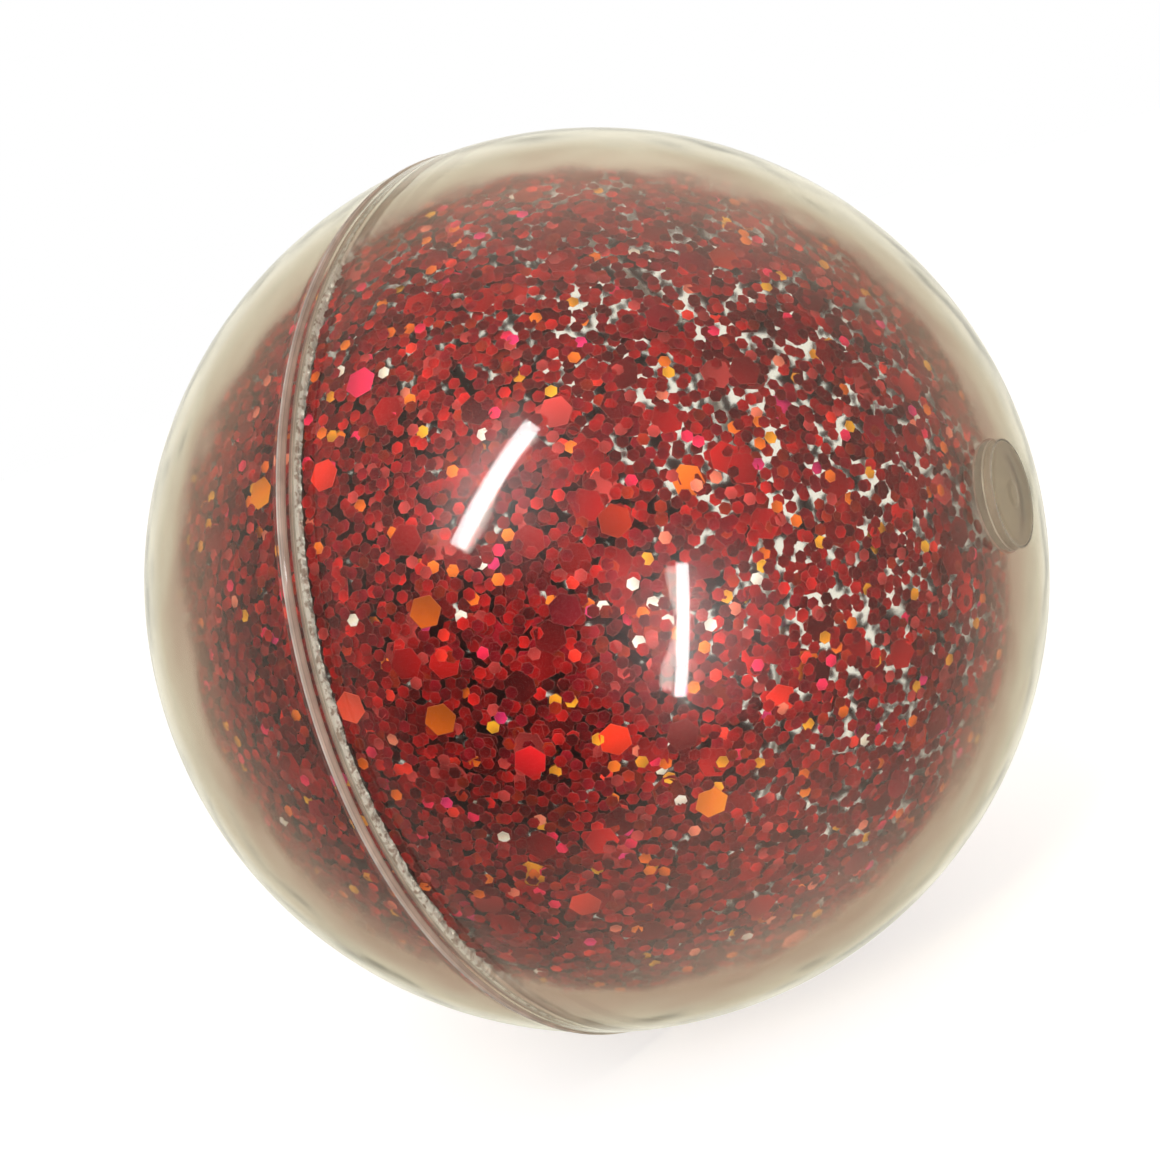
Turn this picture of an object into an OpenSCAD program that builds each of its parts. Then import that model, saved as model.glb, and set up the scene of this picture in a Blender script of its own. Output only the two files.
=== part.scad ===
// A clear hollow bouncy ball, moulded as two cups that are bonded at a tongue and groove seam.
// A round plug closes the hole through which the foil flakes were poured in.
// The origin is the ball's centre. +X is the plug's axis and points out through the plug.
// The seam lies in a plane across X, and +Z is up. All sizes are in millimetres.

/* [Ball] */
// Outer diameter of the ball
ball_d = 75; // [60:1:120]
// Thickness of the clear wall
wall = 3; // [2.6:0.1:4]

/* [Seam] */
// Distance of the seam behind the ball's centre, away from the plug
seam_back = 1; // [0:0.1:3]
// Thickness of the adhesive film in each bonded joint
film_t = 0.1; // [0.06:0.01:0.14]
// Depth of the seam's tongue below the ball's outside, to the middle of the tongue
tongue_depth = 1.7; // [1.2:0.1:1.8]
// Thickness of the tongue
tongue_t = 0.8; // [0.5:0.1:1]
// Length of the tongue
tongue_len = 0.9; // [0.5:0.1:2]
// Height of the raised rim that each half has along the seam
rim_h = 0.15; // [0.05:0.05:0.3]
// Width of that rim on each half
rim_w = 0.5; // [0.3:0.1:1]
// Height of the squeezed-out bead of adhesive along the seam's inside
bead_h = 0.9; // [0.4:0.1:1.2]

/* [Fill plug] */
// Diameter of the plug
plug_d = 8; // [6:0.5:12]
// Distance that the plug's inner end stands inside the wall
plug_stub = 0.4; // [0:0.1:1]
// Chamfer on the plug's outer edge and on the mouth of its hole
edge_chamfer = 0.2; // [0.1:0.05:0.3]
// Diameter of the shallow dish in the plug's outer face
dish_d = 5; // [4:0.5:5.5]
// Depth of the dish, below the ball's outside at the plug's middle
dish_depth = 0.35; // [0.3:0.05:0.5]
// Diameter of the gate mark that stands in the dish
gate_d = 1.7; // [1:0.1:2.5]
// Height of the gate mark
gate_h = 0.2; // [0.1:0.05:0.25]

/* [Flakes] */
// Width across flats of a small foil flake
small_flake_w = 0.8; // [0.6:0.1:1.2]
// Width across flats of a large foil flake
large_flake_w = 2; // [1.5:0.1:3]
// Thickness of the foil
foil_t = 0.1; // [0.05:0.01:0.2]
// Gap between the flakes' corners and the inside of the wall
flake_gap = 0.25; // [0.2:0.05:0.6]
// Small flakes in the even spread, before those at the seam and plug are left out
small_flake_count = 300; // [100:10:400]
// Large flakes in the even spread, before those at the seam and plug are left out
large_flake_count = 60; // [20:5:90]

/* [Hidden] */
$fn = 240;

ball_r = ball_d / 2;
inner_r = ball_r - wall;
seam_x = -seam_back;

// Each half ends half a film short of the seam plane
plain_end_x = seam_x - film_t / 2;
plug_end_x = seam_x + film_t / 2;
tongue_mid_r = ball_r - tongue_depth;
tongue_out_r = tongue_mid_r + tongue_t / 2;
tongue_in_r = tongue_mid_r - tongue_t / 2;
tongue_end_x = plug_end_x + tongue_len;

// The raised rim is rooted this deep, at the middle of the wall
rim_foot_r = ball_r - wall / 2;
// Radius of the inside wall's circle in the seam plane
seam_inner_r = sqrt(inner_r * inner_r - seam_x * seam_x);

plug_r = plug_d / 2;
hole_r = plug_r + film_t;
hole_mouth_x = sqrt(ball_r * ball_r - hole_r * hole_r);
hole_inner_x = sqrt(inner_r * inner_r - hole_r * hole_r);
plug_edge_x = sqrt(ball_r * ball_r - plug_r * plug_r);
plug_end_inner_x = hole_inner_x - plug_stub;
film_end_x = hole_mouth_x - edge_chamfer;
dish_floor_x = ball_r - dish_depth;

// How far a cut runs past what it cuts
overrun = wall;

// Clear way between neighbouring flakes, and from a flake to the bead or the plug
flake_clear = 2 * flake_gap;
// The golden angle spreads points evenly over a sphere
golden_angle = 180 * (3 - sqrt(5));
// Each flake is turned by this much more than the one before it
flake_turn = 47;

// Turns a flat profile about X. The profile's own x is the distance from the axis, and its y is the place along X.
module x_turned() {
    rotate([0, 90, 0])
        rotate_extrude()
            children();
}

// Profile of a band from radius r_in to r_out, between the places a and b
module band(r_in, r_out, a, b) {
    translate([r_in, a])
        square([r_out - r_in, b - a]);
}

// Profile of what lies between the places a and b of a hollow ball
module wall_band(r_in, r_out, a, b) {
    intersection() {
        difference() {
            circle(r = r_out);
            circle(r = r_in);
        }
        band(0, r_out + overrun, a, b);
    }
}

module plain_half_shell() {
    color([0.93, 0.91, 0.82, 0.35])
        x_turned() {
            wall_band(inner_r, ball_r, -ball_r - overrun, plain_end_x);
            wall_band(rim_foot_r, ball_r + rim_h, plain_end_x - rim_w, plain_end_x);
            band(tongue_in_r, tongue_out_r, plain_end_x - tongue_t, tongue_end_x);
        }
}

module plug_half_shell() {
    color([0.93, 0.91, 0.82, 0.35])
        x_turned()
            difference() {
                union() {
                    wall_band(inner_r, ball_r, plug_end_x, ball_r + overrun);
                    wall_band(rim_foot_r, ball_r + rim_h, plug_end_x, plug_end_x + rim_w);
                }
                groove_profile(seam_x - overrun);
                band(0, hole_r, 0, ball_r + overrun);
                translate([hole_r, film_end_x])
                    polygon([
                        [-edge_chamfer, 0],
                        [0, 0],
                        [2 * edge_chamfer, 2 * edge_chamfer],
                        [-edge_chamfer, 2 * edge_chamfer]
                    ]);
            }
}

// The space round the tongue, one film wider than the tongue on each side
module groove_profile(from) {
    band(tongue_in_r - film_t, tongue_out_r + film_t, from, tongue_end_x + film_t);
}

module seam_adhesive() {
    color([0.84, 0.82, 0.76, 0.7])
        x_turned() {
            difference() {
                union() {
                    wall_band(inner_r - bead_h / 2, ball_r, plain_end_x, plug_end_x);
                    groove_profile(plain_end_x);
                }
                band(tongue_in_r, tongue_out_r, plain_end_x - overrun, tongue_end_x);
            }
            intersection() {
                translate([seam_inner_r, seam_x])
                    circle(r = bead_h);
                circle(r = inner_r);
            }
        }
}

module fill_plug() {
    color([0.9, 0.88, 0.78, 0.45])
        x_turned() {
            difference() {
                intersection() {
                    circle(r = ball_r);
                    band(0, plug_r, plug_end_inner_x, ball_r + overrun);
                }
                band(0, dish_d / 2, dish_floor_x, ball_r + overrun);
                translate([plug_r, plug_edge_x - edge_chamfer])
                    polygon([
                        [0, 0],
                        [edge_chamfer, 0],
                        [edge_chamfer, 2 * edge_chamfer],
                        [-2 * edge_chamfer, 2 * edge_chamfer]
                    ]);
            }
            band(0, gate_d / 2, dish_floor_x - gate_h, dish_floor_x + gate_h);
        }
}

module plug_adhesive() {
    color([0.84, 0.82, 0.76, 0.7])
        x_turned()
            difference() {
                band(plug_r, hole_r, 0, film_end_x);
                circle(r = inner_r);
            }
}

// Circumradius of a hexagon of width w across its flats
function corner_r(w) = w / 2 / cos(30);

// Distance from the centre to the outer face of a flake whose corners clear the wall
function flake_face(w) = sqrt(pow(inner_r - flake_gap, 2) - pow(corner_r(w), 2));

// Cosine of the angle between +X and flake i of n in an even spread over the sphere
function spread_cos(i, n) = 1 - (2 * i + 1) / n;

// Middle of flake i of n, for flakes of width w
function flake_point(i, n, w) =
    let (c = spread_cos(i, n), s = sqrt(1 - c * c), turn = golden_angle * i, d = flake_face(w))
    [d * c, d * s * cos(turn), d * s * sin(turn)];

// True where a flake of width w would clear the seam's bead and the plug's end
function clears_shell(p, w) =
    abs(p.x - seam_x) > bead_h + corner_r(w) + flake_clear
    && !(p.x > 0 && norm([p.y, p.z]) < plug_r + corner_r(w) + flake_clear);

large_points = [
    for (i = [0 : large_flake_count - 1])
        flake_point(i, large_flake_count, large_flake_w)
];

// True where a small flake clears every large one
function clears_large(p) =
    min([for (q = large_points) norm(p - q)])
    > corner_r(small_flake_w) + corner_r(large_flake_w) + flake_clear;

// Flake i of n, flat against the inside of the wall
module flake(i, n, w) {
    rotate([golden_angle * i, 0, 0])
        rotate([0, 0, acos(spread_cos(i, n))])
            translate([flake_face(w) - foil_t, 0, 0])
                rotate([0, 90, 0])
                    rotate([0, 0, flake_turn * i])
                        cylinder(r = corner_r(w), h = foil_t, $fn = 6);
}

module small_flakes() {
    color([0.55, 0.11, 0.11])
        for (i = [0 : small_flake_count - 1]) {
            p = flake_point(i, small_flake_count, small_flake_w);
            if (clears_shell(p, small_flake_w) && clears_large(p))
                flake(i, small_flake_count, small_flake_w);
        }
}

module large_flakes() {
    color([0.72, 0.14, 0.12])
        for (i = [0 : large_flake_count - 1])
            if (clears_shell(large_points[i], large_flake_w))
                flake(i, large_flake_count, large_flake_w);
}

plain_half_shell();
plug_half_shell();
seam_adhesive();
fill_plug();
plug_adhesive();
small_flakes();
large_flakes();
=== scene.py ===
# Looks of the clear bouncy ball: glass-clear shells, the seam, the plug and the foil flakes inside.
# Metres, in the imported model's frame: the ball's centre is the origin and +X points out through the plug.
import math

import bmesh
import bpy
import numpy as np
from mathutils import Matrix, Vector, noise


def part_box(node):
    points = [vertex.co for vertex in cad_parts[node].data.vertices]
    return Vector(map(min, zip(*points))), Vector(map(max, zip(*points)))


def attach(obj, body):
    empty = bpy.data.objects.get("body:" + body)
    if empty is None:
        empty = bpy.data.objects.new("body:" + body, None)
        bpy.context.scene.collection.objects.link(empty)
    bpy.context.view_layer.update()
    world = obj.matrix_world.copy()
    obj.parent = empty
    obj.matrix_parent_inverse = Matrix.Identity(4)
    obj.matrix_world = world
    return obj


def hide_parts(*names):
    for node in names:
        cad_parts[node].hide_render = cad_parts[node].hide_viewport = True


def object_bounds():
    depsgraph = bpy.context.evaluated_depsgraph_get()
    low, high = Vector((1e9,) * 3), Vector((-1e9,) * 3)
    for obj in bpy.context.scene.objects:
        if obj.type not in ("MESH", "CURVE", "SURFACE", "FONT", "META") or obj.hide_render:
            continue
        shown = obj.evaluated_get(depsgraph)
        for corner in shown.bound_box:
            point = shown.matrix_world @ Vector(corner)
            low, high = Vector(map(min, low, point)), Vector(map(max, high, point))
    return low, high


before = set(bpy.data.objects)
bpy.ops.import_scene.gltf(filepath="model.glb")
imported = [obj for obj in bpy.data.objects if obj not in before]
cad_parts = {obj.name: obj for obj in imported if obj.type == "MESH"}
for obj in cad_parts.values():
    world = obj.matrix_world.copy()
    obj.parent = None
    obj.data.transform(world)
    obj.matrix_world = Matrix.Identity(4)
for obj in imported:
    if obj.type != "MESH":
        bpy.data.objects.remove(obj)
cad_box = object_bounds()

MM = 0.001

# Sizes that the solids have
BALL_R = -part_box("plain_half_shell")[0].x
WALL = 3 * MM
INNER_R = BALL_R - WALL
SEAM_X = -1 * MM
FILM_T = 0.1 * MM
TONGUE_DEPTH = 1.7 * MM
TONGUE_T = 0.8 * MM
TONGUE_LEN = 0.9 * MM
RIM_H = 0.15 * MM
RIM_W = 0.5 * MM
BEAD_H = 0.9 * MM
PLUG_R = 4 * MM
EDGE_CHAMFER = 0.2 * MM
DISH_R = 2.5 * MM
DISH_DEPTH = 0.35 * MM
GATE_R = 0.85 * MM
GATE_H = 0.2 * MM
SMALL_W = 0.8 * MM
LARGE_W = 2.0 * MM

# Sizes that differ from the solids': the groove round the plug, half the bead's width and the foil
GROOVE = EDGE_CHAMFER / 5
BEAD_SIDE = 0.42 * MM
FOIL_T = 0.012 * MM
# The set adhesive wets the plastic, so its piece runs this far into both sides
WET = 0.01 * MM

# Places along X and radii that follow from them
PLAIN_END_X = SEAM_X - FILM_T / 2
PLUG_END_X = SEAM_X + FILM_T / 2
TONGUE_OUT_R = BALL_R - TONGUE_DEPTH + TONGUE_T / 2
TONGUE_IN_R = BALL_R - TONGUE_DEPTH - TONGUE_T / 2
TONGUE_END_X = PLUG_END_X + TONGUE_LEN
HOLE_R = PLUG_R + FILM_T
HOLE_EDGE_X = math.sqrt(BALL_R**2 - HOLE_R**2)
HOLE_INNER_X = math.sqrt(INNER_R**2 - HOLE_R**2)
PLUG_EDGE_X = math.sqrt(BALL_R**2 - PLUG_R**2)
DISH_FLOOR_X = BALL_R - DISH_DEPTH

# The plastic's refractive index
IOR = 1.5

# The photograph, in its own pixels
IMAGE_PX = 1160
BALL_PX = (596.9, 580.1)
BALL_R_PX = 452.9
CAMERA_DISTANCE = 4.0 * BALL_R
PLUG_AXIS_SEEN = Vector((0.8265, 0.173, 0.536)).normalized()
CAMERA_ELEVATION = math.radians(10)


def camera_axes():
    """The camera's right, up and back directions.

    Back leans up by the elevation, and +X lies where the plug is seen."""
    side = PLUG_AXIS_SEEN
    up_part = math.sin(CAMERA_ELEVATION)
    back = Vector((side.z, -math.sqrt(1 - side.z**2 - up_part**2), up_part))
    across = (Vector((1, 0, 0)) - side.z * back).normalized()
    turn = math.atan2(side.y, side.x)
    over = back.cross(across)
    right = math.cos(turn) * across - math.sin(turn) * over
    return right, back.cross(right), back


RIGHT, UP, BACK = camera_axes()
EYE = BACK * CAMERA_DISTANCE
FOCAL_PX = BALL_R_PX * math.sqrt((CAMERA_DISTANCE / BALL_R) ** 2 - 1)


def make_camera():
    data = bpy.data.cameras.new("camera")
    camera = bpy.data.objects.new("camera", data)
    bpy.context.scene.collection.objects.link(camera)
    data.sensor_width = 36
    data.lens = data.sensor_width * FOCAL_PX / IMAGE_PX
    data.shift_x = (IMAGE_PX / 2 - BALL_PX[0]) / IMAGE_PX
    data.shift_y = (BALL_PX[1] - IMAGE_PX / 2) / IMAGE_PX
    data.clip_start = 1 * MM
    turn = Matrix((RIGHT, UP, BACK)).transposed().to_4x4()
    camera.matrix_world = Matrix.Translation(EYE) @ turn
    bpy.context.scene.camera = camera


def ball_point(pixel):
    """Where the photograph's pixel meets the ball, and the direction from the camera to it."""
    across, down = pixel[0] - BALL_PX[0], pixel[1] - BALL_PX[1]
    ray = (RIGHT * across - UP * down - BACK * FOCAL_PX).normalized()
    half = EYE.dot(ray)
    inside = half**2 - EYE.length_squared + BALL_R**2
    return EYE + ray * (-half - math.sqrt(max(inside, 0))), ray


def mirrored(pixel):
    """The direction that the ball reflects to the camera at this pixel, and the point where it does."""
    point, ray = ball_point(pixel)
    normal = point.normalized()
    return ray - 2 * ray.dot(normal) * normal, point


# Materials


def new_material(name):
    material = bpy.data.materials.new(name)
    material.use_nodes = True
    tree = material.node_tree
    tree.nodes.clear()
    return material, tree


def node(tree, kind, **values):
    """A new node. Each value goes to the socket of its name, or else to the node's own setting."""
    made = tree.nodes.new(kind)
    for key, value in values.items():
        if key in made.inputs.keys():
            made.inputs[key].default_value = value
        else:
            setattr(made, key, value)
    return made


# A clear face's roughness changes between these two values of Layer Weight's Facing
SQUARE_ON = 0.3
SLANTED = 0.6
# A faint second gloss, so blurred that it makes a glow round the lamps
GLOW_SHARE = 0.06
GLOW_BLUR = 0.28
# What is left of white light where the plastic is thick
CAST_COLOUR = (0.9, 0.72, 0.1)


def clear_plastic(name, roughness, slant_roughness, cast_density, haze, tint):
    """Clear plastic with a yellowish cast that grows with thickness.

    Lamps shine through it without bending, and so does all that passes a face that the adhesive wets."""
    material, tree = new_material(name)
    glass = node(tree, "ShaderNodeBsdfPrincipled", IOR=IOR)
    glass.inputs["Base Color"].default_value = (*tint, 1)
    slant = node(tree, "ShaderNodeLayerWeight", Blend=0.5)
    blur = node(tree, "ShaderNodeMapRange")
    blur.inputs["From Min"].default_value = SQUARE_ON
    blur.inputs["From Max"].default_value = SLANTED
    blur.inputs["To Min"].default_value = roughness
    blur.inputs["To Max"].default_value = slant_roughness
    tree.links.new(slant.outputs["Facing"], blur.inputs["Value"])
    tree.links.new(blur.outputs["Result"], glass.inputs["Roughness"])
    glass.inputs["Transmission Weight"].default_value = 1 - haze
    glass.inputs["Coat Weight"].default_value = GLOW_SHARE
    glass.inputs["Coat Roughness"].default_value = GLOW_BLUR
    open_way = node(tree, "ShaderNodeBsdfTransparent")
    open_way.inputs["Color"].default_value = (1, 1, 1, 1)
    path = node(tree, "ShaderNodeLightPath")
    wetted = node(tree, "ShaderNodeAttribute", attribute_name="wetted")
    straight = node(tree, "ShaderNodeMath", operation="MAXIMUM")
    tree.links.new(path.outputs["Is Shadow Ray"], straight.inputs[0])
    tree.links.new(wetted.outputs["Fac"], straight.inputs[1])
    mix = node(tree, "ShaderNodeMixShader")
    cast = node(tree, "ShaderNodeVolumeAbsorption", Density=cast_density)
    cast.inputs["Color"].default_value = (*CAST_COLOUR, 1)
    out = node(tree, "ShaderNodeOutputMaterial")
    tree.links.new(straight.outputs[0], mix.inputs[0])
    tree.links.new(glass.outputs[0], mix.inputs[1])
    tree.links.new(open_way.outputs[0], mix.inputs[2])
    tree.links.new(mix.outputs[0], out.inputs["Surface"])
    tree.links.new(cast.outputs[0], out.inputs["Volume"])
    return material


# The foil's gloss has its own reddish tint, and its specks are of this colour
GLOSS_TINT = (0.72, 0.16, 0.15)
SPECK_COLOUR = (0.75, 0.12, 0.1)


def foil(name, roughness, speckle, coat):
    """Metallised foil in each flake's own colour, with fine pale specks."""
    material, tree = new_material(name)
    shader = node(tree, "ShaderNodeBsdfPrincipled", Metallic=0.85, Roughness=roughness)
    shader.inputs["Coat Weight"].default_value = coat
    shader.inputs["Coat Roughness"].default_value = 0.35
    shader.inputs["Specular IOR Level"].default_value = 0.25
    shader.inputs["Specular Tint"].default_value = (*GLOSS_TINT, 1)
    shade = node(tree, "ShaderNodeVertexColor", layer_name="foil_shade")
    place = node(tree, "ShaderNodeTexCoord")
    specks = node(tree, "ShaderNodeTexNoise", Scale=9000.0, Detail=1.0)
    tree.links.new(place.outputs["Object"], specks.inputs["Vector"])
    ramp = node(tree, "ShaderNodeMapRange")
    ramp.inputs["From Min"].default_value = 0.55
    ramp.inputs["From Max"].default_value = 0.8
    ramp.inputs["To Max"].default_value = speckle
    tree.links.new(specks.outputs["Fac"], ramp.inputs["Value"])
    mix = node(tree, "ShaderNodeMix", data_type="RGBA")
    tree.links.new(ramp.outputs["Result"], mix.inputs["Factor"])
    tree.links.new(shade.outputs["Color"], mix.inputs[6])
    mix.inputs[7].default_value = (*SPECK_COLOUR, 1)
    tree.links.new(mix.outputs[2], shader.inputs["Base Color"])
    out = node(tree, "ShaderNodeOutputMaterial")
    tree.links.new(shader.outputs[0], out.inputs["Surface"])
    return material


def axis_radius(tree, place):
    """A socket with the distance from the X axis."""
    flat = node(tree, "ShaderNodeVectorMath", operation="MULTIPLY")
    tree.links.new(place.outputs["Object"], flat.inputs[0])
    flat.inputs[1].default_value = (0, 1, 1)
    radius = node(tree, "ShaderNodeVectorMath", operation="LENGTH")
    tree.links.new(flat.outputs[0], radius.inputs[0])
    return radius.outputs["Value"]


ADHESIVE_IOR = 1.45


def adhesive_material(name, source, bands, streak, haze):
    """Set adhesive: hazy, and streaked in fine lines.

    bands gives (place, colour, cover) along the source: the radius from the X axis, or x. Cover is how much
    it hides of what lies behind it."""
    material, tree = new_material(name)
    shader = node(tree, "ShaderNodeBsdfPrincipled", Roughness=0.5, IOR=ADHESIVE_IOR)
    place = node(tree, "ShaderNodeTexCoord")
    if source == "radius":
        along = axis_radius(tree, place)
    else:
        apart = node(tree, "ShaderNodeSeparateXYZ")
        tree.links.new(place.outputs["Object"], apart.inputs[0])
        along = apart.outputs["X"]
    first, last = bands[0][0], bands[-1][0]
    spot = node(tree, "ShaderNodeMapRange")
    spot.inputs["From Min"].default_value = first
    spot.inputs["From Max"].default_value = last
    tree.links.new(along, spot.inputs["Value"])
    ramp = node(tree, "ShaderNodeValToRGB")
    elements = ramp.color_ramp.elements
    for _ in bands[2:]:
        elements.new(0.5)
    for element, (at, colour, cover) in zip(elements, bands):
        element.position = (at - first) / (last - first)
        element.color = (*colour, cover)
    tree.links.new(spot.outputs["Result"], ramp.inputs["Fac"])
    lines = node(tree, "ShaderNodeTexNoise", noise_dimensions="1D", Scale=streak, Detail=3.0)
    tree.links.new(along, lines.inputs["W"])
    patches = node(tree, "ShaderNodeTexNoise", Scale=420.0, Detail=5.0)
    tree.links.new(place.outputs["Object"], patches.inputs["Vector"])
    both = node(tree, "ShaderNodeMath", operation="ADD")
    tree.links.new(lines.outputs["Fac"], both.inputs[0])
    tree.links.new(patches.outputs["Fac"], both.inputs[1])
    level = node(tree, "ShaderNodeMapRange")
    level.inputs["From Min"].default_value = 0.75
    level.inputs["From Max"].default_value = 1.25
    level.inputs["To Min"].default_value = 1 - haze
    tree.links.new(both.outputs[0], level.inputs["Value"])
    shade = node(tree, "ShaderNodeMix", data_type="RGBA", blend_type="MULTIPLY")
    shade.inputs["Factor"].default_value = 1.0
    tree.links.new(ramp.outputs["Color"], shade.inputs[6])
    tree.links.new(level.outputs["Result"], shade.inputs[7])
    tree.links.new(shade.outputs[2], shader.inputs["Base Color"])
    shown = node(tree, "ShaderNodeMath", operation="MULTIPLY")
    tree.links.new(ramp.outputs["Alpha"], shown.inputs[0])
    tree.links.new(level.outputs["Result"], shown.inputs[1])
    open_way = node(tree, "ShaderNodeBsdfTransparent")
    cover = node(tree, "ShaderNodeMixShader")
    tree.links.new(shown.outputs[0], cover.inputs[0])
    tree.links.new(open_way.outputs[0], cover.inputs[1])
    tree.links.new(shader.outputs[0], cover.inputs[2])
    out = node(tree, "ShaderNodeOutputMaterial")
    tree.links.new(cover.outputs[0], out.inputs["Surface"])
    return material


# The seam's adhesive by its distance from the axis, and the plug's by its place along X
SEAM_BANDS = [
    (INNER_R, (1.0, 0.95, 0.9), 1.0),
    (INNER_R + 0.4 * MM, (1.0, 0.92, 0.85), 1.0),
    (TONGUE_IN_R - FILM_T, (1.0, 0.82, 0.74), 0.95),
    # Darker at the tongue: reddish bits trapped in the adhesive, and painted shade of the lap's corner
    (TONGUE_IN_R, (0.6, 0.42, 0.36), 0.7),
    (TONGUE_OUT_R, (0.5, 0.35, 0.3), 0.6),
    (TONGUE_OUT_R + 2 * FILM_T, (0.82, 0.62, 0.54), 0.85),
    (BALL_R - 0.3 * MM, (0.82, 0.63, 0.55), 0.9),
    (BALL_R, (0.92, 0.79, 0.72), 1.0),
]
PLUG_BANDS = [
    (HOLE_INNER_X, (0.6, 0.34, 0.28), 1.0),
    (HOLE_INNER_X + 0.04 * MM, (0.6, 0.34, 0.28), 0.0),
    (PLUG_EDGE_X - 1.8 * MM, (0.75, 0.62, 0.5), 0.0),
    (PLUG_EDGE_X - 1.65 * MM, (0.95, 0.9, 0.8), 0.7),
    (PLUG_EDGE_X - 1.45 * MM, (0.52, 0.41, 0.3), 0.38),
    (PLUG_EDGE_X - 0.3 * MM, (0.55, 0.44, 0.33), 0.35),
    (PLUG_EDGE_X - GROOVE, (0.8, 0.74, 0.62), 0.4),
    (PLUG_EDGE_X, (0.8, 0.74, 0.62), 0.5),
]


def bead_material():
    """The crumbs of adhesive squeezed out inside the seam."""
    material, tree = new_material("adhesive_crumbs")
    shader = node(tree, "ShaderNodeBsdfPrincipled", Roughness=0.35, IOR=ADHESIVE_IOR)
    place = node(tree, "ShaderNodeTexCoord")
    crumbs = node(tree, "ShaderNodeTexNoise", Scale=2200.0, Detail=3.0)
    tree.links.new(place.outputs["Object"], crumbs.inputs["Vector"])
    ramp = node(tree, "ShaderNodeValToRGB")
    ramp.color_ramp.elements[0].position = 0.38
    ramp.color_ramp.elements[0].color = (0.5, 0.4, 0.35, 1)
    ramp.color_ramp.elements[1].position = 0.5
    ramp.color_ramp.elements[1].color = (1.0, 0.99, 0.96, 1)
    tree.links.new(crumbs.outputs["Fac"], ramp.inputs["Fac"])
    tree.links.new(ramp.outputs["Color"], shader.inputs["Base Color"])
    out = node(tree, "ShaderNodeOutputMaterial")
    tree.links.new(shader.outputs[0], out.inputs["Surface"])
    return material


# Meshes

# Into how many steps the walls' arcs, the halves, the plug, a soft step and the rim's rounding are cut
ARC_STEPS = 110
TURN_STEPS = 320
PLUG_STEPS = 128
SLOPE_STEPS = 8
RIM_STEPS = 6
# Edges sharper than these stay sharp
WALL_SHARP = math.radians(35)
SHARP = math.radians(30)
# A smaller radius than this is a point on the axis
NO_RADIUS = 1e-9


def add_piece(name, mesh, material, body):
    piece = bpy.data.objects.new(name, mesh)
    bpy.context.scene.collection.objects.link(piece)
    mesh.materials.append(material)
    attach(piece, body)
    return piece


def turned_mesh(name, profile, steps, wetted=()):
    """Turns a closed outline of (place along X, radius) points about X.

    A radius of zero makes a single point. wetted numbers the sides of the outline that the adhesive wets."""
    bm = bmesh.new()
    rings = []
    marks = []
    for x, r in profile:
        if r < NO_RADIUS:
            rings.append([bm.verts.new((x, 0, 0))])
        else:
            angles = [2 * math.pi * i / steps for i in range(steps)]
            rings.append([bm.verts.new((x, r * math.cos(a), r * math.sin(a))) for a in angles])
    for k, ring in enumerate(rings):
        other = rings[(k + 1) % len(rings)]
        if len(ring) == 1 and len(other) == 1:
            continue
        for i in range(steps):
            j = (i + 1) % steps
            near = [ring[i % len(ring)], ring[j % len(ring)]]
            far = [other[j % len(other)], other[i % len(other)]]
            bm.faces.new(list(dict.fromkeys(near + far)))
            marks.append(1.0 if k in wetted else 0.0)
    bmesh.ops.recalc_face_normals(bm, faces=bm.faces)
    mesh = bpy.data.meshes.new(name)
    bm.to_mesh(mesh)
    bm.free()
    mesh.attributes.new("wetted", "FLOAT", "FACE").data.foreach_set("value", marks)
    return mesh


def arc(radius, from_x, to_x, steps):
    """Points of the circle of this radius about the centre, from one place along X to another."""
    first, last = math.acos(from_x / radius), math.acos(to_x / radius)
    angles = [first + (last - first) * i / steps for i in range(steps + 1)]
    return [(radius * math.cos(a), radius * math.sin(a)) for a in angles]


def at_x(radius, x):
    """The outline's point at this x on the circle of this radius."""
    return (x, math.sqrt(radius**2 - x**2))


def at_r(radius, r):
    """The x at this distance from the axis on the circle of this radius."""
    return math.sqrt(radius**2 - r**2)


def slope(from_x, from_r, to_x, to_r):
    """Points of a soft step between two levels."""
    steps = [i / SLOPE_STEPS for i in range(SLOPE_STEPS + 1)]
    return [(from_x + (to_x - from_x) * s * s * (3 - 2 * s), from_r + (to_r - from_r) * s) for s in steps]


def shade_smooth(mesh, angle):
    for polygon in mesh.polygons:
        polygon.use_smooth = True
    mesh.set_sharp_from_angle(angle=angle)


def rim_points(end_x, outward):
    """The rounded rim on a half's edge, from the ball's surface to the joint face."""
    start = end_x - outward * RIM_W
    points = []
    for i in range(1, RIM_STEPS + 1):
        share = i / RIM_STEPS
        x = start + outward * RIM_W * share
        rise = RIM_H * math.sin(share * math.pi / 2) ** 2
        points.append(at_x(BALL_R + rise, x))
    return points


# The inside wall's ripple: its height, how far it lies outside the plain wall in such heights, the lengths
# of its two waves, and the finer one's share
RIPPLE = 0.045 * MM
RIPPLE_SHIFT = 1.35
RIPPLE_LONG = 7 * MM
RIPPLE_SHORT = 2.6 * MM
SHORT_SHARE = 0.35
# Points nearer to the centre than this belong to the inside wall
INSIDE_LIMIT = INNER_R + WALL * 0.01


def ripple_inside(mesh):
    """Moves the inside wall out a little and unevenly, as moulded walls are."""
    for vertex in mesh.vertices:
        place = vertex.co
        if place.length < INSIDE_LIMIT:
            wave = noise.noise(place / RIPPLE_LONG) + SHORT_SHARE * noise.noise(place / RIPPLE_SHORT)
            vertex.co = place * (1 + RIPPLE * (RIPPLE_SHIFT + wave) / INNER_R)


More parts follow.
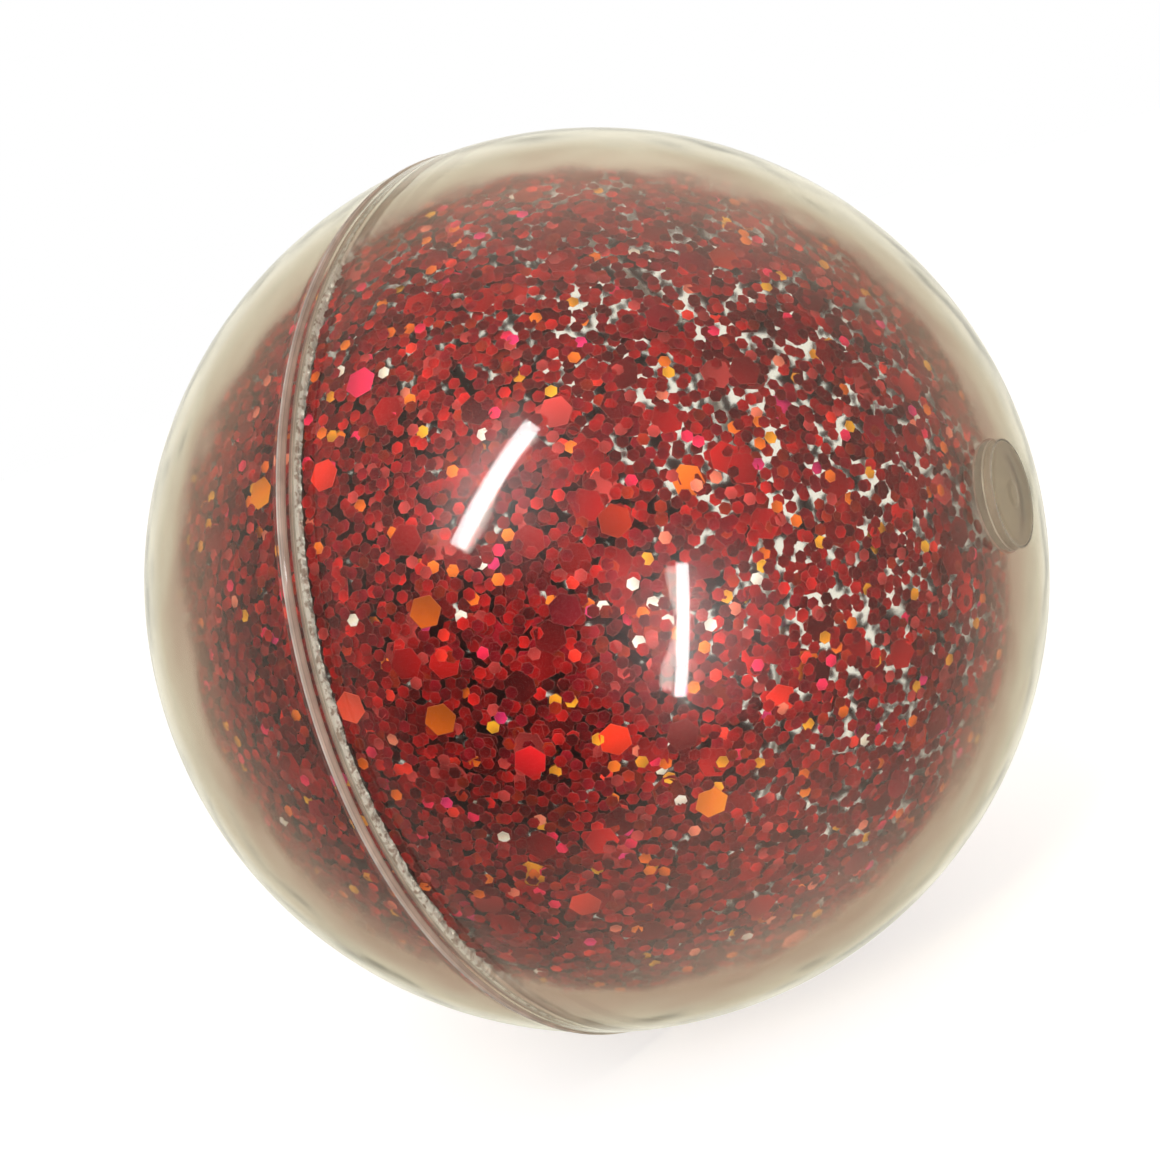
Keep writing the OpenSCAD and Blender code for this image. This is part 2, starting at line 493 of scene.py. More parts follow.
def make_half(name, outline, wetted, node_name):
    """One half of the shell, turned from its outline."""
    mesh = turned_mesh(name, outline, TURN_STEPS, wetted)
    ripple_inside(mesh)
    shade_smooth(mesh, WALL_SHARP)
    piece = add_piece(name, mesh, CLEAR, "shell")
    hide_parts(node_name)


def make_plain_half():
    end_x = PLAIN_END_X
    outside = arc(BALL_R, -BALL_R, end_x - RIM_W, ARC_STEPS) + rim_points(end_x, 1)
    face = [(end_x, TONGUE_OUT_R), (TONGUE_END_X, TONGUE_OUT_R)]
    face += [(TONGUE_END_X, TONGUE_IN_R), (end_x, TONGUE_IN_R)]
    inside = arc(INNER_R, end_x, -INNER_R, ARC_STEPS)
    joint = range(len(outside) - 1, len(outside) + len(face))
    make_half("plain_half", outside + face + inside, joint, "plain_half_shell")


def make_plug_half():
    end_x = PLUG_END_X
    tip_x = TONGUE_END_X + FILM_T
    low, high = TONGUE_IN_R - FILM_T, TONGUE_OUT_R + FILM_T
    wide_r = HOLE_R + GROOVE
    face = [(end_x, low), (tip_x, low), (tip_x, high), (end_x, high)]
    outside = list(reversed(rim_points(end_x, -1)))
    outside += arc(BALL_R, end_x + RIM_W, at_r(BALL_R, wide_r), ARC_STEPS)
    hole = [(HOLE_EDGE_X - GROOVE, HOLE_R)]
    inside = arc(INNER_R, HOLE_INNER_X, end_x, ARC_STEPS)
    outline = face + outside + hole + inside
    bore = len(face) + len(outside)
    make_half("plug_half", outline, [*range(len(face)), bore, len(outline) - 1], "plug_half_shell")


# How much shallower the dish is drawn and how far the gate mark rises, in heights of the solid's mark
DISH_LIFT = 0.8
GATE_RISE = 0.5
# Where the soft steps of the gate mark and the dish start and end, and where the plug's lip starts
GATE_FROM_R = GATE_R * 0.6
GATE_TO_R = GATE_R * 1.4
DISH_FROM_R = DISH_R * 0.5
DISH_TO_R = DISH_R * 1.4
LIP_R = DISH_R * 1.48


def make_plug():
    edge_r = PLUG_R - GROOVE
    shallow = DISH_FLOOR_X + GATE_H * DISH_LIFT
    top = shallow + GATE_H * GATE_RISE
    outline = [(top, 0), (top, GATE_R / 2)]
    outline += slope(top, GATE_FROM_R, shallow, GATE_TO_R)
    outline += slope(shallow, DISH_FROM_R, at_r(BALL_R, DISH_TO_R), DISH_TO_R)
    outline += [(at_r(BALL_R, r), r) for r in (LIP_R, edge_r)]
    side = len(outline)
    outline += [(PLUG_EDGE_X - GROOVE, PLUG_R)]
    inner_radii = [PLUG_R * i / SLOPE_STEPS for i in range(SLOPE_STEPS, -1, -1)]
    outline += [(at_r(INNER_R, r), r) for r in inner_radii]
    mesh = turned_mesh("plug", outline, PLUG_STEPS, [side])
    shade_smooth(mesh, SHARP)
    piece = add_piece("plug_clear", mesh, PLUG_CLEAR, "shell")
    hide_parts("fill_plug")
    ring = [
        (HOLE_INNER_X, PLUG_R - WET),
        (PLUG_EDGE_X - GROOVE, PLUG_R - WET),
        (at_r(BALL_R, edge_r) - WET, edge_r),
        (at_r(BALL_R, HOLE_R + GROOVE) - WET, HOLE_R + GROOVE),
        (HOLE_EDGE_X - GROOVE, HOLE_R + WET),
        (HOLE_INNER_X, HOLE_R + WET),
    ]
    mesh = turned_mesh("plug_ring", ring, PLUG_STEPS)
    shade_smooth(mesh, SHARP)
    film = add_piece("plug_glue_ring", mesh, PLUG_FILM, "shell")
    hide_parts("plug_adhesive")


def make_seam_film():
    """The adhesive between the halves, outside and inside the tongue."""
    front, back = PLUG_END_X + WET, PLAIN_END_X - WET
    top_r = at_x(BALL_R + RIM_H, SEAM_X)[1] - WET
    outer = [(back, top_r), (front, top_r), (front, TONGUE_OUT_R + WET), (back, TONGUE_OUT_R + WET)]
    inner = [(back, TONGUE_IN_R - WET), (front, TONGUE_IN_R - WET), (front, INNER_R), (back, INNER_R)]
    for name, outline in (("outer", outer), ("inner", inner)):
        mesh = turned_mesh(f"seam_film_{name}", outline, TURN_STEPS)
        shade_smooth(mesh, SHARP)
        film = add_piece(f"seam_glue_{name}", mesh, SEAM_FILM, "shell")
        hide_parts("seam_adhesive")


# How finely the bead is cut along the seam and round itself
BEAD_STEPS = 1500
BEAD_SIDES = 14
# Its section before the crumbs: how far it reaches into the ball, into the film and to the sides
BEAD_INTO_BALL = 0.75
BEAD_INTO_FILM = 0.2
BEAD_ACROSS = 0.85
# How its thickness varies along the seam: slowly and quickly, each as a share and a number of waves
BEAD_MEAN = 0.8
BEAD_SLOW = (0.2, 9)
BEAD_QUICK = (0.15, 40)
# The crumbs: two sizes, the finer one's share, their height, and how far in the bead's face they start
CRUMB = 0.4 * MM
FINE_CRUMB = 0.17 * MM
FINE_CRUMB_SHARE = 0.8
CRUMB_H = 0.24 * MM
CRUMBS_FROM = 0.05


def bead_place(around, turn, wide):
    """A point of the bead's face at this turn of its section, which lies in the direction around."""
    along, inward = math.cos(turn), math.sin(turn)
    reach = BEAD_H * wide * (BEAD_INTO_BALL if inward > 0 else BEAD_INTO_FILM)
    place = around * (INNER_R - reach * inward)
    place += Vector((SEAM_X + BEAD_SIDE * BEAD_ACROSS * wide * along, 0, 0))
    if inward > CRUMBS_FROM:
        rough = noise.noise(place / CRUMB) + FINE_CRUMB_SHARE * noise.noise(place / FINE_CRUMB)
        place += (place - around * INNER_R).normalized() * rough * CRUMB_H
    place.x = min(max(place.x, SEAM_X - BEAD_SIDE), SEAM_X + BEAD_SIDE)
    return place


def make_bead():
    """The bead squeezed out inside the seam, rough as crumbs."""
    vertices, faces = [], []
    for i in range(BEAD_STEPS):
        angle = 2 * math.pi * i / BEAD_STEPS
        around = Vector((0, math.cos(angle), math.sin(angle)))
        wide = BEAD_MEAN
        for share, waves in (BEAD_SLOW, BEAD_QUICK):
            wide += share * noise.noise(around * waves)
        here, there = i * BEAD_SIDES, (i + 1) % BEAD_STEPS * BEAD_SIDES
        for k in range(BEAD_SIDES):
            beside = (k + 1) % BEAD_SIDES
            vertices.append(bead_place(around, 2 * math.pi * k / BEAD_SIDES, wide))
            faces.append([here + k, here + beside, there + beside, there + k])
    mesh = bpy.data.meshes.new("seam_bead")
    mesh.from_pydata(vertices, [], faces)
    bead = add_piece("seam_glue_bead", mesh, BEAD, "shell")
    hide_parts("seam_adhesive")


# Flakes

# How wide a flake's bevelled edge is, the pale tint of that edge and the tint's share
FLAKE_EDGE = 0.035 * MM
EDGE_TINT = np.array([0.85, 0.42, 0.36])
EDGE_TINT_SHARE = 0.15
# Painted reflection: how much lighter and darker than its middle a flake is painted at its two sides, as a
# flat foil mirrors a gradient of the room
PAINTED_SHEEN_RUN = 0.3
# The face that looks into the ball is painted darker, as painted shade of the dim inside: its tone by the
# outer face's, and a small lift
INNER_SHADE_TONE = 0.5
INNER_SHADE_LIFT = 0.015
# A tilt is at most this many times its usual size
MOST_TILT = 2
# The most flakes that one piece holds
MOST_FLAKES = 9500
# A flake that faces nearer to the X axis than this cosine is laid out from Y instead
NEAR_X = 0.8
# Flakes keep out of this part of the plug's radius
PLUG_WAY_R = PLUG_R * 0.9

rng = np.random.default_rng(7)


def spread(count, jitter):
    """Evenly spread unit directions, each moved a little at random."""
    index = np.arange(count)
    x = 1 - (2 * index + 1) / count
    turn = math.pi * (3 - math.sqrt(5)) * index
    ring = np.sqrt(1 - x * x)
    points = np.stack([x, ring * np.cos(turn), ring * np.sin(turn)], 1)
    spacing = math.sqrt(4 * math.pi / count)
    points += rng.normal(0, jitter * spacing, points.shape)
    return points / np.linalg.norm(points, axis=1)[:, None]


def clears_shell(points, reach):
    """Which of these places, in metres, leave the seam's bead and the plug's end free."""
    beside_seam = np.abs(points[:, 0] - SEAM_X) > BEAD_SIDE + reach
    plug_way = np.hypot(points[:, 1], points[:, 2]) > PLUG_WAY_R + reach
    return beside_seam & (plug_way | (points[:, 0] < 0))


def hexagons(name, places, radii, width, tilt, shades):
    """One mesh of thin hexagonal flakes near the inside of the wall, with bevelled and paler upper edges.

    radii says how far from the ball's centre each flake's highest corner may lie."""
    count = len(places)
    out = places + np.clip(rng.normal(0, 1, places.shape), -MOST_TILT, MOST_TILT) * tilt[:, None]
    out /= np.linalg.norm(out, axis=1)[:, None]
    reach = width / math.sqrt(3)
    slant = np.linalg.norm(np.cross(out, places), axis=1)
    centre_radii = radii - reach * slant - reach**2 / (2 * INNER_R)
    helper = np.where(np.abs(out[:, :1]) < NEAR_X, [[1.0, 0, 0]], [[0, 1.0, 0]])
    a = np.cross(out, helper)
    a /= np.linalg.norm(a, axis=1)[:, None]
    b = np.cross(out, a)
    spin = rng.uniform(0, math.pi / 3, count)
    turns = [spin + k * math.pi / 3 for k in range(6)]
    corners = [a * np.cos(turn)[:, None] + b * np.sin(turn)[:, None] for turn in turns]
    ring = np.stack(corners, 1) * reach
    centres = (places * centre_radii[:, None])[:, None, :]
    inset = 1 - FLAKE_EDGE / (width / 2)
    top = centres + ring * inset
    bottom = centres + ring - out[:, None, :] * FOIL_T
    vertices = np.concatenate([top, bottom], 1).reshape(-1, 3)
    base = np.arange(count)[:, None] * 12
    plan = [[0, 1, 2, 3, 4, 5], [11, 10, 9, 8, 7, 6]]
    plan += [[k, k + 6, (k + 1) % 6 + 6, (k + 1) % 6] for k in range(6)]
    faces = [(base + np.array([row])).tolist() for row in plan]
    faces = [face for group in zip(*faces) for face in group]
    mesh = bpy.data.meshes.new(name)
    mesh.from_pydata(vertices.tolist(), [], faces)
    # A flake has 36 face corners: 6 of its outer face, 6 of its inner face and 24 of its sides
    attribute = mesh.color_attributes.new("foil_shade", "FLOAT_COLOR", "CORNER")
    colours = np.ones((count, 36, 4), dtype=np.float32)
    # Each flake's outer face is painted lighter on one side and darker on the other, a painted reflection
    painted_sheen_turn = rng.uniform(0, 2 * math.pi, (count, 1))
    painted_sheen = 1 + PAINTED_SHEEN_RUN * np.cos(np.arange(6) * math.pi / 3 + painted_sheen_turn)
    pale = shades * (1 - EDGE_TINT_SHARE) + EDGE_TINT * EDGE_TINT_SHARE
    colours[:, :6, :3] = shades[:, None, :] * painted_sheen[:, :, None]
    # Painted shade: the inner face is darker than the outer
    colours[:, 6:12, :3] = shades[:, None, :] * INNER_SHADE_TONE + INNER_SHADE_LIFT
    colours[:, 12:, :3] = pale[:, None, :]
    attribute.data.foreach_set("color", colours.ravel())
    return mesh


# Each foil colour, how common it is, and how much its brightness varies
FOIL_COLOURS = [
    ((0.33, 0.005, 0.007), 0.42, 0.4),
    ((0.24, 0.004, 0.013), 0.19, 0.45),
    ((0.36, 0.024, 0.006), 0.06, 0.4),
    ((0.13, 0.004, 0.006), 0.19, 0.4),
    ((0.55, 0.012, 0.012), 0.08, 0.3),
    ((0.52, 0.058, 0.056), 0.06, 0.3),
]
# The same for flakes painted in the colours that the red holographic foil flashes under light: painted
# reflected colour, the last one a painted white highlight
PAINTED_FLASH_COLOURS = [
    ((1.0, 0.22, 0.02), 0.26, 0.25),
    ((1.0, 0.45, 0.03), 0.16, 0.2),
    ((1.0, 0.03, 0.12), 0.20, 0.25),
    ((1.0, 0.05, 0.03), 0.18, 0.3),
    ((1.0, 0.28, 0.18), 0.10, 0.2),
    ((0.85, 0.04, 0.22), 0.06, 0.2),
    ((1.0, 0.95, 0.85), 0.04, 0.05),
]


def picked(colours, count):
    """Random colours out of such a list."""
    shares = np.array([share for _, share, _ in colours])
    picks = rng.choice(len(colours), count, p=shares / shares.sum())
    base = np.array([colour for colour, _, _ in colours])[picks]
    vary = np.array([change for _, _, change in colours])[picks]
    return base * (1 + vary * rng.uniform(-1, 1, count))[:, None]


def pick_shades(count, painted_flash_share):
    shades = picked(FOIL_COLOURS, count)
    # Some flakes get a painted flash colour, a painted reflection, in place of the foil's own red
    painted_flash = rng.random(count) < painted_flash_share
    shades[painted_flash] = picked(PAINTED_FLASH_COLOURS, int(painted_flash.sum()))
    return np.clip(shades, 0, 1)


# Where the flakes lie thin: towards the back, on the upper right as the photograph has it. The share that is
# missing there, the cosine where the thin place starts, and the cosines over which it comes in
THIN_SIDE = (RIGHT * 0.3 + UP * 0.22 - BACK * 0.93).normalized()
THIN_SHARE = 0.62
THIN_FROM = 0.52
THIN_OVER = 0.27


def kept_by_thinness(places):
    """Which flakes stay where the layer is thinner on one side of the ball."""
    toward = places @ np.array(THIN_SIDE)
    share = 1 - THIN_SHARE * np.clip((toward - THIN_FROM) / THIN_OVER, 0, 1)
    return rng.random(len(places)) < share


# The second layer is full on this side and sparse on the other: its share half-way, its rise and its least
FULL_SIDE = (-RIGHT * 0.8 - UP * 0.6).normalized()
FULL_MIDDLE = 0.45
FULL_RISE = 1.2
FULL_LEAST = 0.15


def kept_behind(places):
    """Which flakes of the second layer stay."""
    toward = places @ np.array(FULL_SIDE)
    return rng.random(len(places)) < np.clip(FULL_MIDDLE + FULL_RISE * toward, FULL_LEAST, 1)


# Where more flakes lie in a drift, low down at the back on the left: the cosine where it starts, and over
# how much of the cosine it fills
DRIFT_SIDE = (-RIGHT * 0.55 - UP * 0.45 - BACK * 0.65).normalized()
DRIFT_FROM = 0.25
DRIFT_OVER = 0.3


def kept_in_drift(places):
    """Which flakes of a drift stay: those near its middle, and fewer round it."""
    toward = places @ np.array(DRIFT_SIDE)
    return rng.random(len(places)) < np.clip((toward - DRIFT_FROM) / DRIFT_OVER, 0, 1)


# The share of flakes that stand off the wall, and how many times the others' tilt they have
STANDING_SHARE = 0.12
STANDING_TILT = 4


def add_flakes(name, mesh, large):
    """A mesh of flakes as a piece that turns with the layer."""
    piece = add_piece(name, mesh, FOIL, "flake_layer")
    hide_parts("large_flakes" if large else "small_flakes")


def add_layer(name, count, jitter, width, depth, tilt, painted_flash_share, kept):
    """One layer of flakes, in pieces of at most MOST_FLAKES. depth is its range behind the wall's face in
    millimetres."""
    places = spread(count, jitter)
    places = places[clears_shell(places * INNER_R, width / math.sqrt(3))]
    places = places[kept(places)]
    places = places[np.argsort(places[:, 0])]
    radii = INNER_R - rng.uniform(*depth, len(places)) * MM
    tilts = tilt * np.where(rng.random(len(places)) < STANDING_SHARE, STANDING_TILT, 1)
    shades = pick_shades(len(places), painted_flash_share)
    parts = math.ceil(len(places) / MOST_FLAKES)
    for index, part in enumerate(np.array_split(np.arange(len(places)), parts)):
        mesh = hexagons(f"{name}_{index}", places[part], radii[part], width, tilts[part], shades[part])
        add_flakes(f"{name}_{index}", mesh, width == LARGE_W)


def seen_place(pixel, radius):
    """Unit direction to what this pixel shows at a radius inside the ball, as the wall bends the ray."""
    point, ray = ball_point(pixel)
    normal = point.normalized()
    cross = normal.cross(ray).length
    off_axis = cross * BALL_R
    turn = math.asin(off_axis / (IOR * INNER_R)) - math.asin(cross / IOR)
    turn += math.asin(min(1, off_axis / radius)) - math.asin(min(1, off_axis / INNER_R))
    tangent = (ray - normal * ray.dot(normal)).normalized()
    return normal * math.cos(turn) + tangent * math.sin(turn)


# Large flakes that catch the eye in the photograph: pixel and colour as seen there. Their orange, pink and
# plum colours are the holographic foil's flash, so partly painted reflected colour
PLACED_FLAKES = [
    ((360, 382), (1.0, 0.04, 0.16)),
    ((323, 475), (0.95, 0.05, 0.03)),
    ((260, 493), (1.0, 0.34, 0.02)),
    ((350, 708), (1.0, 0.13, 0.07)),
    ((425, 612), (0.60, 0.13, 0.01)),
    ((440, 720), (0.65, 0.15, 0.01)),
    ((615, 740), (1.0, 0.06, 0.02)),
    ((712, 803), (1.0, 0.30, 0.02)),
    ((530, 762), (0.85, 0.02, 0.03)),
    ((565, 610), (0.20, 0.006, 0.016)),
    ((683, 735), (0.22, 0.02, 0.02)),
    ((585, 905), (0.80, 0.07, 0.04)),
    ((510, 455), (0.35, 0.03, 0.03)),
    ((745, 370), (0.26, 0.010, 0.012)),
]
PLACED_RADIUS = INNER_R - 0.03 * MM
PLACED_TILT = 0.01
# Small flakes painted near-white, as painted highlights, at pixels where the photograph shows flakes
# mirroring a lamp
PAINTED_GLINT_PIXELS = [
    (633, 584),
    (603, 607),
    (653, 603),
    (668, 621),
    (711, 625),
    (639, 642),
    (461, 617),
    (481, 563),
    (483, 434),
    (681, 801),
    (748, 938),
    (757, 579),
]
# Painted highlight: the near-white colour that these flakes are painted
PAINTED_GLINT_COLOUR = (0.95, 0.9, 0.84)
PAINTED_GLINT_RADIUS = INNER_R - 0.1 * MM
PAINTED_GLINT_TILT = 0.03


def make_placed_flakes():
    """The large flakes that the photograph shows best, in their places."""
    places = np.array([seen_place(pixel, PLACED_RADIUS) for pixel, _ in PLACED_FLAKES])
    shades = np.array([colour for _, colour in PLACED_FLAKES])
    count = len(places)
    radii, tilts = np.full(count, PLACED_RADIUS), np.full(count, PLACED_TILT)
    mesh = hexagons("placed_flakes", places, radii, LARGE_W, tilts, shades)
    add_flakes("large_flakes_placed", mesh, True)


def make_painted_glint_flakes():
    """Small flakes painted near-white: painted glints of the lamps, where the photograph shows them beside
    its streaks.
    """
    places = np.array([seen_place(pixel, PAINTED_GLINT_RADIUS) for pixel in PAINTED_GLINT_PIXELS])
    count = len(places)
    shades = np.tile(PAINTED_GLINT_COLOUR, (count, 1))
    radii, tilts = np.full(count, PAINTED_GLINT_RADIUS), np.full(count, PAINTED_GLINT_TILT)
    mesh = hexagons("painted_glint_flakes", places, radii, SMALL_W, tilts, shades)
    add_flakes("small_flakes_painted_glint", mesh, False)


# The rows beside the seam's bead: how many flakes each has, how unevenly they follow each other, how far
# from the bead in flake widths, how deep in millimetres, their tilt, and the share with a painted flash
# colour
ROW_FLAKES = 360
ROW_JITTER = 0.3
ROW_OFF = (0.58, 0.8)
ROW_DEPTH = (0.03, 0.3)
ROW_TILT = 0.04
ROW_PAINTED_FLASH = 0.05


def make_seam_rows():
    """Small flakes that lie against the seam's bead, a row on each side."""
    count = 2 * ROW_FLAKES
    turn = (np.arange(count) + rng.uniform(-ROW_JITTER, ROW_JITTER, count)) * (4 * math.pi / count)
    side = np.repeat([-1, 1], ROW_FLAKES)
    across = side * (BEAD_SIDE + SMALL_W * rng.uniform(*ROW_OFF, count)) + SEAM_X
    radius = np.sqrt(INNER_R**2 - across**2)
    places = np.stack([across, radius * np.cos(turn), radius * np.sin(turn)], 1) / INNER_R
    radii = INNER_R - rng.uniform(*ROW_DEPTH, count) * MM
    tilts = np.full(count, ROW_TILT)
    mesh = hexagons("seam_rows", places, radii, SMALL_W, tilts, pick_shades(count, ROW_PAINTED_FLASH))
    add_flakes("small_flakes_seam_rows", mesh, False)


# Each layer: its name, how many flakes before some are taken out, how uneven it is, their width, its depth,
# their tilt, the share with a painted flash colour, and the rule for those that stay
LAYERS = [
    ("small_flakes_front", 25000, 0.32, SMALL_W, (0.05, 0.2), 0.025, 0.07, kept_by_thinness),
    ("small_flakes_behind", 22000, 0.9, SMALL_W, (0.25, 0.8), 0.06, 0.05, kept_behind),
    ("large_flakes_near", 1800, 0.7, LARGE_W, (0.05, 0.4), 0.012, 0.03, kept_by_thinness),
    ("large_flakes_drift", 7500, 0.9, LARGE_W, (0.7, 1.9), 0.08, 0.01, kept_in_drift),
]


# Stage


def room_side(tree, way, toward, levels):
    """The room's colour by the cosine of the angle between a ray and one direction."""
    turn = node(tree, "ShaderNodeVectorMath", operation="DOT_PRODUCT")
    tree.links.new(way, turn.inputs[0])
    turn.inputs[1].default_value = toward
    shift = node(tree, "ShaderNodeMapRange")
    shift.inputs["From Min"].default_value = -1
    tree.links.new(turn.outputs["Value"], shift.inputs["Value"])
    ramp = node(tree, "ShaderNodeValToRGB")
    elements = ramp.color_ramp.elements
    for _ in levels[2:]:
        elements.new(0.5)
    for element, (cosine, colour) in zip(elements, levels):
        element.position = (cosine + 1) / 2
        element.color = (*colour, 1)
    tree.links.new(shift.outputs["Result"], ramp.inputs["Fac"])
    return ramp.outputs["Color"]


def mixed(tree, kind, share, first, second):
    """A colour mix of two sockets, by a fixed share or by a socket."""
    mix = node(tree, "ShaderNodeMix", data_type="RGBA", blend_type=kind)
    if isinstance(share, float):
        mix.inputs[0].default_value = share
    else:
        tree.links.new(share, mix.inputs[0])
    tree.links.new(first, mix.inputs[6])
    tree.links.new(second, mix.inputs[7])
    return mix.outputs[2]


# The room's colours, by the cosine of the angle from the line that runs behind the ball: as seen through the
# ball, and as mirrored by its face
THROUGH_LEVELS = [
    (-1, (0.70, 0.68, 0.66)),
    (0.2, (0.70, 0.64, 0.58)),
    (0.5, (0.66, 0.50, 0.40)),
    (0.6, (0.42, 0.30, 0.23)),
    (0.66, (0.48, 0.35, 0.29)),
    (0.74, (0.57, 0.47, 0.385)),
    (0.84, (0.72, 0.66, 0.565)),
    (0.88, (0.90, 0.86, 0.775)),
    (0.92, (1.0, 0.98, 0.92)),
    (1, (1.0, 0.99, 0.95)),
]
MIRRORED_LEVELS = [
    (-1, (0.04, 0.04, 0.04)),
    (0.0, (0.13, 0.12, 0.11)),
    (0.3, (0.44, 0.39, 0.33)),
    (0.45, (0.60, 0.52, 0.41)),
    (0.6, (0.45, 0.40, 0.31)),
    (0.74, (0.55, 0.51, 0.38)),
    (0.85, (0.98, 0.95, 0.80)),
    (1, (1.0, 0.98, 0.88)),
]
# The middle of the bright backdrop
BRIGHT_SIDE = (UP * 0.09 - RIGHT * 0.02 - BACK).normalized()
# The dark patch that the ball mirrors at this pixel of the photograph, and its share in what shows through
DARK_PIXEL = (495, 705)
DARK_LEVELS = [(-1, (1, 1, 1)), (0.75, (1, 1, 1)), (0.94, (0.1, 0.08, 0.08)), (1, (0.05, 0.04, 0.04))]
DARK_THROUGH = 0.8
# The soft glows of the room that the ball mirrors: two round the strip lamps, one at the top and one at the
# lower right. Each has its pixel in the photograph, and colours by the cosine of the angle from its middle.
BLACK = (0, 0, 0)
GLOWS = [
    (
        (690, 630),
        [(0.9, BLACK), (0.975, (1.2, 1.15, 1.1)), (0.99, (2.0, 1.95, 1.9)), (1, (2.4, 2.35, 2.3))],
    ),
    (
        (495, 490),
        [(0.92, BLACK), (0.97, (0.6, 0.57, 0.55)), (0.99, (1.4, 1.35, 1.3)), (1, (1.9, 1.85, 1.8))],
    ),
    ((625, 215), [(0.81, BLACK), (0.93, (0.7, 0.55, 0.46)), (1, (0.88, 0.69, 0.57))]),
    ((740, 875), [(0.79, BLACK), (0.93, (0.8, 0.58, 0.46)), (1, (1.0, 0.72, 0.56))]),
]


def make_world():
    """A studio room: white to the camera. Other rays see a bright backdrop behind the ball, and softer walls
    round it."""
    world = bpy.data.worlds.new("studio")
    bpy.context.scene.world = world
    world.use_nodes = True
    tree = world.node_tree
    tree.nodes.clear()
    way = node(tree, "ShaderNodeTexCoord").outputs["Generated"]
    path = node(tree, "ShaderNodeLightPath")
    shade = room_side(tree, way, mirrored(DARK_PIXEL)[0], DARK_LEVELS)
    backdrop = room_side(tree, way, BRIGHT_SIDE, THROUGH_LEVELS)
    through = mixed(tree, "MULTIPLY", DARK_THROUGH, backdrop, shade)
    off = mixed(tree, "MULTIPLY", 1.0, room_side(tree, way, BRIGHT_SIDE, MIRRORED_LEVELS), shade)
    for pixel, levels in GLOWS:
        glow = room_side(tree, way, mirrored(pixel)[0], [(-1, BLACK), *levels])
        off = mixed(tree, "ADD", 1.0, off, glow)
    seen = node(tree, "ShaderNodeBackground", Color=(1, 1, 1, 1), Strength=1.0)
    room = node(tree, "ShaderNodeBackground", Strength=1.0)
    # A ray through the clear wall counts as both kinds, so a mirror's ray is one that is glossy alone
    mirror = node(tree, "ShaderNodeMath", operation="SUBTRACT", use_clamp=True)
    tree.links.new(path.outputs["Is Glossy Ray"], mirror.inputs[0])
    tree.links.new(path.outputs["Is Transmission Ray"], mirror.inputs[1])
    tree.links.new(mixed(tree, "MIX", mirror.outputs[0], through, off), room.inputs["Color"])
    mix = node(tree, "ShaderNodeMixShader")
    out = node(tree, "ShaderNodeOutputWorld")
    tree.links.new(path.outputs["Is Camera Ray"], mix.inputs[0])
    tree.links.new(room.outputs[0], mix.inputs[1])
    tree.links.new(seen.outputs[0], mix.inputs[2])
    tree.links.new(mix.outputs[0], out.inputs["Surface"])


# Each strip lamp: the ends and the width of its reflection in the photograph, its brightness, its distance
STREAKS = [
    ((533, 424), (458, 547), 17, 19.4, 0.6),
    ((682, 563), (680, 697), 12, 22, 0.085),
]


def make_lamps():
    """Strip lamps, each where the ball mirrors it as one of the photograph's streaks."""
    for index, (top_px, bottom_px, width_px, radiance, distance) in enumerate(STREAKS):
        ends = []
        for pixel in (top_px, bottom_px):
            direction, point = mirrored(pixel)
            ends.append(point + direction * distance)
        middle_px = Vector((top_px[0] + bottom_px[0], top_px[1] + bottom_px[1])) / 2
        along = Vector((bottom_px[0] - top_px[0], bottom_px[1] - top_px[1])).normalized()
        side = Vector((-along.y, along.x)) * width_px / 2
        edges = []
        for sign in (-1, 1):
            direction, point = mirrored(middle_px + sign * side)
            edges.append(point + direction * distance)
        data = bpy.data.lights.new(f"strip_{index}", "AREA")
        data.shape = "RECTANGLE"
        length = (ends[1] - ends[0]).length
        width = (edges[1] - edges[0]).length
        data.size = width
        data.size_y = length
        data.energy = radiance * math.pi * length * width
        lamp = bpy.data.objects.new(f"strip_{index}", data)
        bpy.context.scene.collection.objects.link(lamp)
        middle = (ends[0] + ends[1]) / 2
        axis_y = (ends[1] - ends[0]).normalized()
        axis_x = axis_y.cross(middle.normalized()).normalized()
        turn = Matrix((axis_x, axis_y, axis_x.cross(axis_y))).transposed().to_4x4()
        lamp.matrix_world = Matrix.Translation(middle) @ turn
        lamp.visible_camera = False


FLOOR_HALF = 3.0
FLOOR_COLOUR = (0.8, 0.8, 0.8)
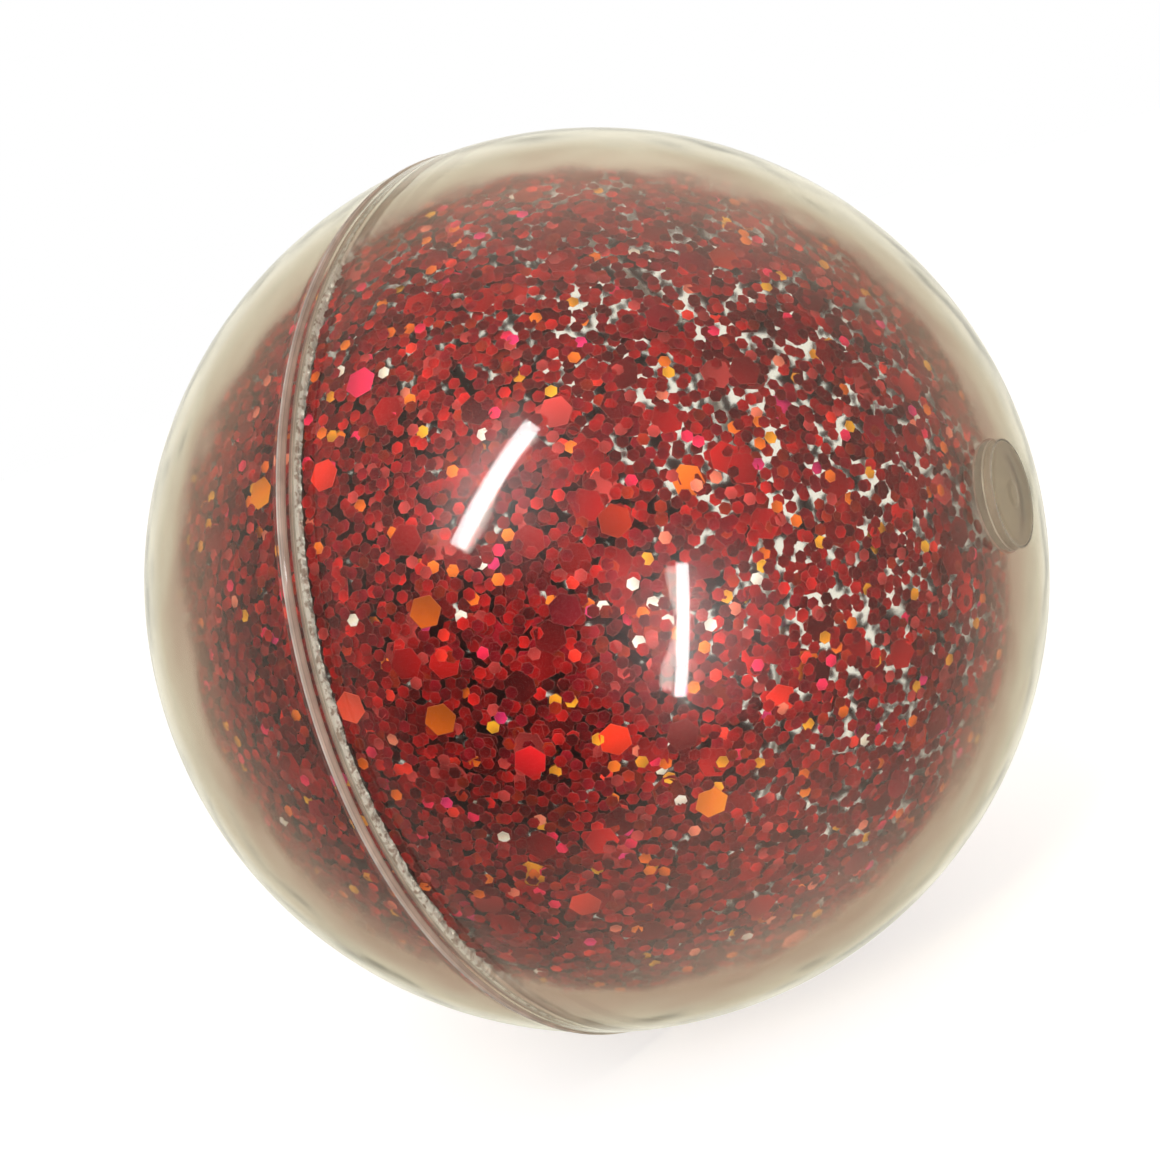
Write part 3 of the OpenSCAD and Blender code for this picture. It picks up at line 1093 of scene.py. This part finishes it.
# What the floor adds for the camera alone, so that it looks nearly white and keeps the ball's shadow
FLOOR_LIFT = 0.62


def make_floor():
    mesh = bpy.data.meshes.new("floor")
    bm = bmesh.new()
    bmesh.ops.create_grid(bm, x_segments=1, y_segments=1, size=FLOOR_HALF)
    bm.to_mesh(mesh)
    bm.free()
    floor = bpy.data.objects.new("floor", mesh)
    floor.location.z = cad_box[0].z
    bpy.context.scene.collection.objects.link(floor)
    material, tree = new_material("pale_floor")
    shader = node(tree, "ShaderNodeBsdfDiffuse", Color=(*FLOOR_COLOUR, 1))
    glow = node(tree, "ShaderNodeEmission")
    path = node(tree, "ShaderNodeLightPath")
    lift = node(tree, "ShaderNodeMath", operation="MULTIPLY")
    lift.inputs[1].default_value = FLOOR_LIFT
    both = node(tree, "ShaderNodeAddShader")
    out = node(tree, "ShaderNodeOutputMaterial")
    tree.links.new(path.outputs["Is Camera Ray"], lift.inputs[0])
    tree.links.new(lift.outputs[0], glow.inputs["Strength"])
    tree.links.new(shader.outputs[0], both.inputs[0])
    tree.links.new(glow.outputs[0], both.inputs[1])
    tree.links.new(both.outputs[0], out.inputs["Surface"])
    mesh.materials.append(material)
    floor.visible_glossy = False
    floor.visible_transmission = False


make_camera()
CLEAR = clear_plastic("clear_plastic", 0.05, 0.1, 30.0, 0.0, (1, 1, 1))
PLUG_CLEAR = clear_plastic("plug_plastic", 0.25, 0.4, 40.0, 0.1, (0.97, 0.9, 0.76))
FOIL = foil("foil", 0.68, 0.25, 0.08)
SEAM_FILM = adhesive_material("seam_adhesive_film", "radius", SEAM_BANDS, 5200.0, 0.28)
PLUG_FILM = adhesive_material("plug_adhesive_film", "x", PLUG_BANDS, 3000.0, 0.4)
BEAD = bead_material()
make_plain_half()
make_plug_half()
make_plug()
make_seam_film()
make_bead()
make_placed_flakes()
make_painted_glint_flakes()
make_seam_rows()
for layer in LAYERS:
    add_layer(*layer)
make_world()
make_lamps()
make_floor()
bpy.context.scene.view_settings.view_transform = "Standard"
